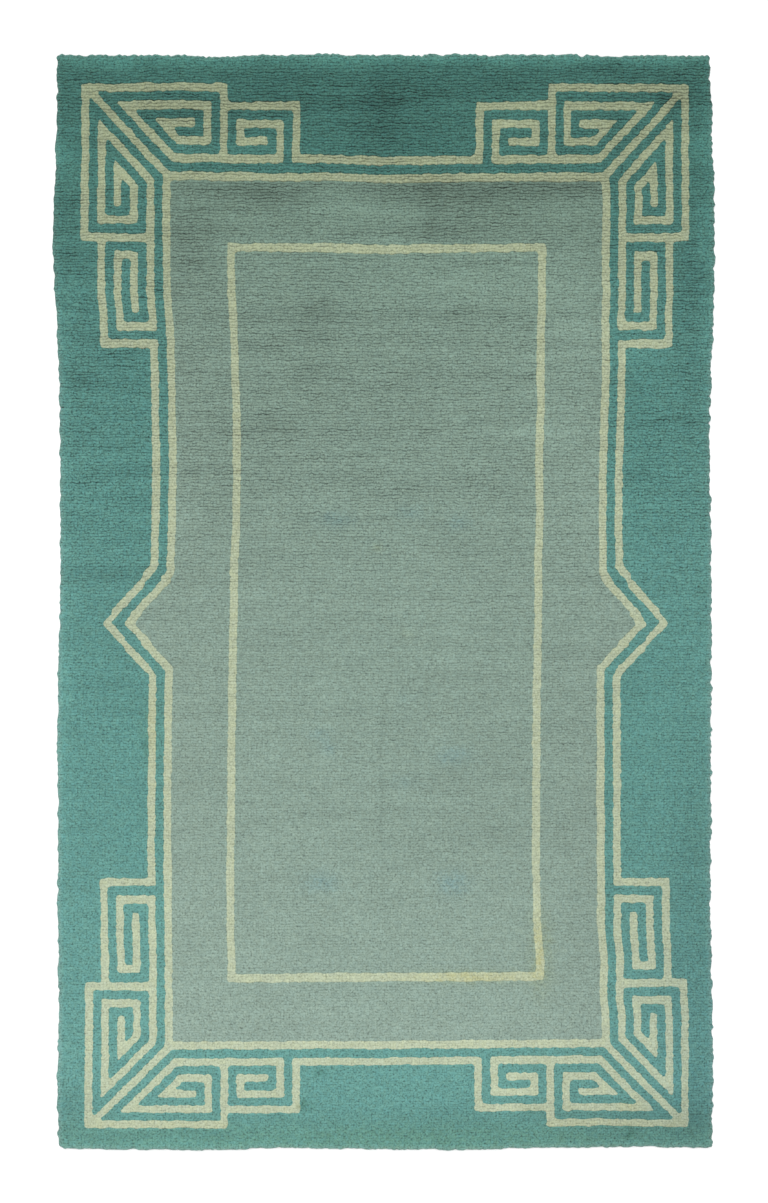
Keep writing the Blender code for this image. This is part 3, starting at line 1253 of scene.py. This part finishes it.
@dataclass(frozen=True)
class WoolEffects:
    """Node groups that the three wools share.

    Cells are noise cells for each knot, or for each metre where the place is an object's own.
    A range gives a value's two ends and what they become.
    """

    chart: KnotChart
    sway: float = 0.8
    sway_cells: Triple = (0.6, 0.9, 0.0)
    parting_cells: Triple = (0.28, 0.95, 0.0)
    parting: Range = (0.34, 0.66, 0.68, 1.2)
    split_cells: Triple = (0.07, 0.9, 0.0)
    split: Range = (0.52, 0.72, 0.0, 0.6)
    gap_before: Range = (0.5, 0.92, 0.0, 1.0)
    gap_after: Range = (0.0, 0.16, 1.0, 0.0)
    column_gap: Range = (0.25, 0.5, 0.0, 1.0)
    darkest: float = 0.12
    edge_glow_knots: float = 2.0
    banding: float = 0.13
    band_cells: Triple = (2.6, 30.0, 0.0)
    band_shift: Triple = (0.06, 0.035, 0.0)
    more_bands_at_head: float = 3.0
    blotch_cells: float = 9.0
    coarse_part: Range = (0.38, 0.54, 1.0, 0.0)
    open_foot: float = 0.36
    open_coarse: float = 0.18
    open_head: float = 0.8
    opened_by_lean: Range = (1.2, 0.7, 0.6, 1.6)
    broken: Range = (0.35, 0.65, 0.35, 1.0)
    broken_cells: float = 130.0
    strand_cells: float = 1100.0
    strand_stretch: Triple = (1.0, 0.45, 1.0)
    strand_share: float = 0.2
    clump_cells: float = 240.0
    brightest_clump: float = 0.02

    def knots(self) -> bpy.types.NodeTree:
        """Each knot's own tone, the painted shadow down in the gaps between rows and columns, and how near
        the rug's edge each knot lies, for the painted light there.

        Returns:
            The group.
        """
        wires = GroupWiring(
            "knot tone",
            {"Spread": 0.1, "Row shadow": 0.5, "Column shadow": 0.2},
            ("Tone_and_shadow", "Tint", "Height", "Edge"),
        )
        place = wires.uv(KNOT_MAP)
        x, y, _ = wires.parts(place)
        random = wires.put("TexWhiteNoise", {0: wires.vector("FLOOR", place)}, noise_dimensions="2D").outputs
        tone = wires.math("MULTIPLY_ADD", wires.less(random["Value"], 0.5), wires.given["Spread"], 1.0)
        swayed = wires.noise(wires.tinted(place, self.sway_cells), detail=1.0)
        swayed = wires.math("MULTIPLY_ADD", swayed, self.sway, y)
        along = wires.math("FRACT", wires.less(swayed, self.sway / 2))
        parted = wires.noise(wires.tinted(place, self.parting_cells), rough=0.6)
        split = wires.noise(wires.tinted(place, self.split_cells), detail=1.0)
        opened = wires.math("ADD", wires.remap(parted, *self.parting), wires.remap(split, *self.split))
        # Painted row shadow, darkest on each knot's foot side as if lit from the head, broken up and opened
        # in places
        gap = wires.math(
            "MAXIMUM", wires.remap(along, *self.gap_before), wires.remap(along, *self.gap_after)
        )
        row_dark = wires.times(wires.times(gap, wires.given["Row shadow"]), opened)
        off_middle = wires.math("ABSOLUTE", wires.less(wires.math("FRACT", x), 0.5))
        column_dark = wires.times(wires.remap(off_middle, *self.column_gap), wires.given["Column shadow"])
        shadow = wires.less(1.0, wires.math("MAXIMUM", row_dark, column_dark))
        shadow = wires.math("MAXIMUM", shadow, self.darkest)
        inwards = [
            wires.math("MINIMUM", part, wires.less(float(count), part))
            for part, count in ((x, self.chart.columns), (y, self.chart.rows))
        ]
        # How near the rug's edge a knot lies, for the painted light there
        edge = wires.remap(wires.math("MINIMUM", *inwards), 0.0, self.edge_glow_knots, 1.0, 0.0)
        tint = wires.put("SeparateColor", {0: random["Color"]}).outputs[1]
        return wires.give({"Tone_and_shadow": wires.times(tone, shadow), "Tint": tint, "Height": shadow, "Edge": edge})

    def fade_and_lean_shade(self) -> bpy.types.NodeTree:
        """How far the colour has moved from the head's to the foot's, partly the wool's own paling and
        partly painted shade of the pile's lean, and the painted shade and highlights of the bands and
        patches where the pile leans.

        Returns:
            The group.
        """
        wires = GroupWiring("pile fading", {"Place": "vector"}, ("Fade", "Shade", "Coarse", "Open"))
        place = wires.given["Place"]
        shift = wires.vector("SUBTRACT", wires.noises(place, 14.0, 3.0), (0.5, 0.5, 0.5))
        moved = wires.vector("MULTIPLY_ADD", shift, self.band_shift, place)
        patches = wires.parts(wires.uv(SHADING_MAP))[0]
        y = wires.parts(place)[1]
        towards_foot = wires.put("MapRange", {0: y, 1: cad_high.y, 2: cad_low.y, 3: 0.0, 4: 1.0}).outputs[0]
        head = wires.less(1.0, towards_foot)
        # Bands and blotches of painted shade where the pile leans, more of them at the head
        banded = wires.noise(wires.tinted(moved, self.band_cells), detail=4.0, rough=0.65)
        band = wires.times(wires.less(banded, 0.5), self.banding)
        band = wires.times(band, wires.math("MULTIPLY_ADD", head, self.more_bands_at_head, 1.0))
        blotched = wires.noise(place, self.blotch_cells, 3.0, 0.6)
        blotch = wires.times(wires.less(blotched, 0.5), self.banding)
        shade = wires.math("ADD", wires.math("ADD", wires.less(1.0, patches), band), blotch)
        # Head colour to foot colour: partly the wool's own paling, partly painted shade of the pile's lean
        ramp = wires.put("ValToRGB", {0: towards_foot})
        for _ in FADE_AND_SHADE_STOPS[2:]:
            ramp.color_ramp.elements.new(0.5)
        for element, stop in zip(ramp.color_ramp.elements, FADE_AND_SHADE_STOPS):
            element.position = stop.station
            element.color = (stop.faded_and_shaded, stop.faded_and_shaded, stop.faded_and_shaded, 1.0)
        coarse = wires.remap(towards_foot, *self.coarse_part)
        # How strong the painted row shadow is: more at the head, and more where the painted lean shade is
        # darker
        gaps = wires.math("MULTIPLY_ADD", coarse, self.open_coarse, self.open_foot)
        gaps = wires.math("MULTIPLY_ADD", head, self.open_head, gaps)
        lean = wires.put("MapRange", dict(enumerate((shade, *self.opened_by_lean)))).outputs[0]
        return wires.give(
            {"Fade": ramp.outputs[0], "Shade": shade, "Coarse": coarse, "Open": wires.times(gaps, lean)}
        )

    def stains(self) -> bpy.types.NodeTree:
        """Where old marks lie on the rug: blue, dark and yellowed.

        Returns:
            The group.
        """
        wires = GroupWiring("old stains", {"Place": "vector"}, ("Blue", "Dark", "Yellow"))
        shading, marks = (wires.parts(wires.uv(name)) for name in (SHADING_MAP, MARKS_MAP))
        broken = wires.noise(wires.given["Place"], self.broken_cells, rough=0.6)
        broken = wires.remap(broken, *self.broken)
        strengths = {"Blue": shading[1], "Dark": marks[0], "Yellow": marks[1]}
        capped = {label: wires.math("MINIMUM", strength, 1.0) for label, strength in strengths.items()}
        return wires.give({label: wires.times(strength, broken) for label, strength in capped.items()})

    def fibres(self) -> bpy.types.NodeTree:
        """Fine strands and clumps of the cut wool: painted shade where they lie low, and a height for the
        bump.

        Returns:
            The group.
        """
        wires = GroupWiring("wool fibres", {"Place": "vector", "Depth": 2.4}, ("Pit_shade", "Height"))
        stretched = wires.tinted(wires.given["Place"], self.strand_stretch)
        strands = wires.times(wires.noise(stretched, self.strand_cells, rough=0.6), self.strand_share)
        clumps = wires.noise(wires.given["Place"], self.clump_cells, 1.0)
        height = wires.math("MULTIPLY_ADD", clumps, 1 - self.strand_share, strands)
        # Painted shade where the fibres lie low, a touch lighter where they stand high
        lit = wires.math("MINIMUM", wires.less(height, 0.5), self.brightest_clump)
        pit_shade = wires.math("MULTIPLY_ADD", lit, wires.given["Depth"], 1.0)
        return wires.give({"Pit_shade": pit_shade, "Height": height})

    def build(self) -> dict[str, bpy.types.NodeTree]:
        """Builds every group once and returns them by name."""
        return {
            "knots": self.knots(),
            "fade_and_lean_shade": self.fade_and_lean_shade(),
            "stains": self.stains(),
            "fibres": self.fibres(),
        }


@dataclass(frozen=True)
class WoolFinish:
    """One dyed wool: its colour at the head and the foot of the rug, the head's darker partly by painted
    shade of the pile's lean, and how it varies.
    """

    name: str
    slot: str
    head: Triple
    foot: Triple
    tint: Triple
    spread: float = 0.17
    row_shadow: float = 0.34
    column_shadow: float = 0.1
    # How deep the painted shade between fibre clumps is, more in the head half, and how much of the painted
    # lean shade the wool takes
    pits: float = 1.0
    clump_depth: float = 2.3
    coarse_depth: float = 0.4
    lean_shade_take: float = 1.0
    roughness: Range = (0.3, 0.7, 0.82, 1.0)

    def material(self, groups: dict[str, bpy.types.NodeTree]) -> bpy.types.Material:
        """Makes the material.

        Args:
            groups: The shared effects.

        Returns:
            The dyed wool.
        """
        wires = MaterialWiring(self.name)
        place = wires.put("TexCoord").outputs["Object"]
        fade_and_lean_shade = wires.effect(groups["fade_and_lean_shade"], {"Place": place})
        stains = wires.effect(groups["stains"], {"Place": place})
        coarse_depth, clump_depth = self.coarse_depth * self.pits, self.clump_depth * self.pits
        depth = wires.math("MULTIPLY_ADD", fade_and_lean_shade["Coarse"], coarse_depth, clump_depth)
        fibres = wires.effect(groups["fibres"], {"Place": place, "Depth": depth})
        row_shadow = wires.times(fade_and_lean_shade["Open"], self.row_shadow)
        knots = wires.effect(
            groups["knots"],
            {"Spread": self.spread, "Row shadow": row_shadow, "Column shadow": self.column_shadow},
        )
        # The head colour darker partly by painted shade of the pile's lean
        colour = wires.mix(fade_and_lean_shade["Fade"], (*self.head, 1.0), (*self.foot, 1.0))
        colour = wires.mix(knots["Tint"], colour, wires.tinted(colour, self.tint))
        # Painted light, lighter and warmer, on the knots nearest the edge
        colour = wires.mix(knots["Edge"], colour, wires.tinted(colour, EDGE_GLOW_TINT))
        # Painted shade and highlights of the pile's lean, painted gap shadows and painted shade between
        # fibre clumps
        lean = wires.times(wires.less(fade_and_lean_shade["Shade"], 1.0), self.lean_shade_take)
        tone = wires.math("MULTIPLY_ADD", knots["Tone_and_shadow"], lean, knots["Tone_and_shadow"])
        tone = wires.times(tone, fibres["Pit_shade"])
        clean = wires.put("VectorMath", {0: colour, "Scale": tone}, operation="SCALE").outputs[0]
        colour = clean
        for label, tint in STAIN_TINTS.items():
            colour = wires.mix(stains[label], colour, wires.tinted(clean, tint))
        height = wires.math("MULTIPLY_ADD", fibres["Height"], 0.5, knots["Height"])
        bump = wires.put("Bump", {"Strength": 0.5, "Distance": 1.2 * MM, "Height": height})
        return wires.coat({
            "Base Color": colour,
            "Roughness": wires.remap(fibres["Height"], *self.roughness),
            "Normal": bump.outputs[0],
            "Specular IOR Level": 0.2,
            "Sheen Weight": 0.25,
            "Sheen Roughness": 0.6,
            "Sheen Tint": (*self.foot, 1.0),
        })


@dataclass(frozen=True)
class BackFinish:
    """The underside: cotton weft with the backs of the knots showing in rows."""

    name: str = "back_weave"
    slot: str = "back_weave"
    cotton: Triple = (0.46, 0.41, 0.31)
    # The colour of the weave's grooves: painted shade
    shade: Triple = (0.27, 0.27, 0.22)
    pitch_x: float = 6.1 * MM
    pitch_y: float = 6.5 * MM
    stray: float = 2.0 * MM
    roughness: Range = (0.3, 0.7, 0.8, 0.95)

    def material(self) -> bpy.types.Material:
        """Makes the material.

        Returns:
            The woven back.
        """
        wires = MaterialWiring(self.name)
        place = wires.put("TexCoord").outputs["Object"]
        uneven = wires.noises(place, 40.0, 2.0)
        place = wires.vector("MULTIPLY_ADD", uneven, (self.stray, self.stray, 0.0), place)
        turns = (2 * math.pi / self.pitch_x, 2 * math.pi / self.pitch_y, 0.0)
        waves = wires.parts(wires.tinted(place, turns))[:2]
        weave = wires.times(*(wires.math("ABSOLUTE", wires.math("SINE", wave)) for wave in waves))
        soiled = wires.noise(place, 7.0, 5.0, 0.6)
        # Darker in the weave's grooves, painted shade there, and patchy by a noise
        share = wires.math("MULTIPLY_ADD", soiled, 0.5, wires.times(weave, 0.6))
        bump = wires.put("Bump", {"Strength": 0.8, "Distance": 1.0 * MM, "Height": weave})
        return wires.coat({
            "Base Color": wires.mix(share, (*self.shade, 1.0), (*self.cotton, 1.0)),
            "Roughness": wires.remap(soiled, *self.roughness),
            "Normal": bump.outputs[0],
            "Specular IOR Level": 0.2,
        })


# Head colours darker than foot colours partly by painted shade of the pile's lean
TEAL_WOOL = WoolFinish(
    "teal_wool", "teal_wool", head=(0.0535, 0.152, 0.124), foot=(0.134, 0.308, 0.268),
    tint=(0.92, 1.0, 1.06), spread=0.2, pits=1.25,
)
SAGE_WOOL = WoolFinish(
    "sage_wool", "sage_wool", head=(0.126, 0.202, 0.161), foot=(0.259, 0.357, 0.307),
    tint=(1.02, 0.99, 0.96),
)
IVORY_WOOL = WoolFinish(
    "ivory_wool", "ivory_wool", head=(0.280, 0.327, 0.214), foot=(0.441, 0.506, 0.374),
    tint=(1.02, 1.0, 0.93), spread=0.14, row_shadow=0.28, pits=0.8, lean_shade_take=0.7,
)
WOOLS = {Yarn.TEAL: TEAL_WOOL, Yarn.SAGE: SAGE_WOOL, Yarn.IVORY: IVORY_WOOL}


@dataclass
class Rug:
    """The whole rug: its back, and on it the pile in its yarns."""

    chart: KnotChart = field(default_factory=KnotChart)
    flat: tuple[float, float] = (1.5, 2.5)

    def tufts(self, pile: Pile) -> list[bpy.types.Object]:
        """Builds and dresses the pile.

        Args:
            pile: The pile, laid out.

        Returns:
            Its pieces, the rim last.
        """
        groups = WoolEffects(self.chart).build()
        wools = {yarn: finish.material(groups) for yarn, finish in WOOLS.items()}
        whole = pile.surface()
        pieces = []
        for name, yarn, sheet in (*pile.yarn_pieces(whole), ("pile_rim", Yarn.TEAL, pile.rim(whole))):
            piece = sheet.make(name, wools[yarn])
            pieces.append(piece)
        return pieces

    def build(self) -> list[bpy.types.Object]:
        """Builds, dresses and attaches every piece to the root body.

        Returns:
            The pieces, the back first.
        """
        loom = Loom(self.chart, Edges())
        pile = Pile(self.chart, loom)
        tufts = self.tufts(pile)
        finish = BackFinish()
        back = WovenBack(loom).sheet(pile.square).make("woven_back", finish.material())
        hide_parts("rug")
        pieces = [back, *tufts]
        for piece in pieces:
            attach(piece, "root")
        return pieces


@dataclass(frozen=True)
class Studio:
    """A pale floor, soft light from above, and the camera straight over the rug."""

    frame_height: float = 2.7436
    camera_x: float = 1.0 * MM
    camera_y: float = 0.8 * MM
    lens_mm: float = 90.0
    sensor_mm: float = 36.0
    floor_side: float = 300.0
    floor_drop: float = 0.5 * MM
    lamp_size: float = 5.0
    key_place: Triple = (-1.2, 3.6, 9.5)
    key_watts: float = 620.0
    fill_place: Triple = (1.2, -3.6, 9.5)
    fill_watts: float = 430.0
    surroundings: float = 0.44

    def floor(self) -> None:
        """Lays the floor."""
        half = self.floor_side / 2
        corners = [(-half, -half, 0), (half, -half, 0), (half, half, 0), (-half, half, 0)]
        mesh = bpy.data.meshes.new("floor")
        mesh.from_pydata(corners, [], [(0, 1, 2, 3)])
        wires = MaterialWiring("pale_floor")
        mesh.materials.append(wires.coat({"Base Color": (0.97, 0.97, 0.97, 1.0), "Roughness": 0.9}))
        floor = bpy.data.objects.new("floor", mesh)
        floor.location.z = -self.floor_drop
        bpy.context.scene.collection.objects.link(floor)

    def lamp(self, name: str, place: Triple, watts: float) -> None:
        """Hangs a square soft light that faces the middle of the rug.

        Args:
            name: The light's name.
            place: Where it hangs.
            watts: Its power.
        """
        data = bpy.data.lights.new(name, "AREA")
        data.size = self.lamp_size
        data.energy = watts
        lamp = bpy.data.objects.new(name, data)
        lamp.location = place
        lamp.rotation_mode = "QUATERNION"
        lamp.rotation_quaternion = (-lamp.location).to_track_quat("-Z", "Y")
        bpy.context.scene.collection.objects.link(lamp)

    def camera(self) -> None:
        """Sets the camera straight above the middle of the rug."""
        data = bpy.data.cameras.new("camera")
        data.lens = self.lens_mm
        data.sensor_width = self.sensor_mm
        camera = bpy.data.objects.new("camera", data)
        distance = self.frame_height * self.lens_mm / self.sensor_mm
        camera.location = (self.camera_x, self.camera_y, cad_high.z + distance)
        bpy.context.scene.collection.objects.link(camera)
        bpy.context.scene.camera = camera

    def build(self) -> None:
        """Sets up the camera, the floor, the lights and the surroundings."""
        self.camera()
        self.floor()
        self.lamp("key_light", self.key_place, self.key_watts)
        self.lamp("fill_light", self.fill_place, self.fill_watts)
        world = bpy.data.worlds.new("studio")
        world.use_nodes = True
        background = world.node_tree.nodes["Background"]
        background.inputs["Color"].default_value = (1.0, 1.0, 1.0, 1.0)
        background.inputs["Strength"].default_value = self.surroundings
        bpy.context.scene.world = world
        bpy.context.scene.view_settings.view_transform = "Standard"


def main() -> None:
    """Builds the studio and the rug, and reports each piece."""
    logging.basicConfig(level=logging.INFO, format="%(name)s: %(message)s")
    Studio().build()
    pieces = Rug().build()
    LOG.info("%d pieces in all", len(pieces))


if __name__ == "__main__":
    main()
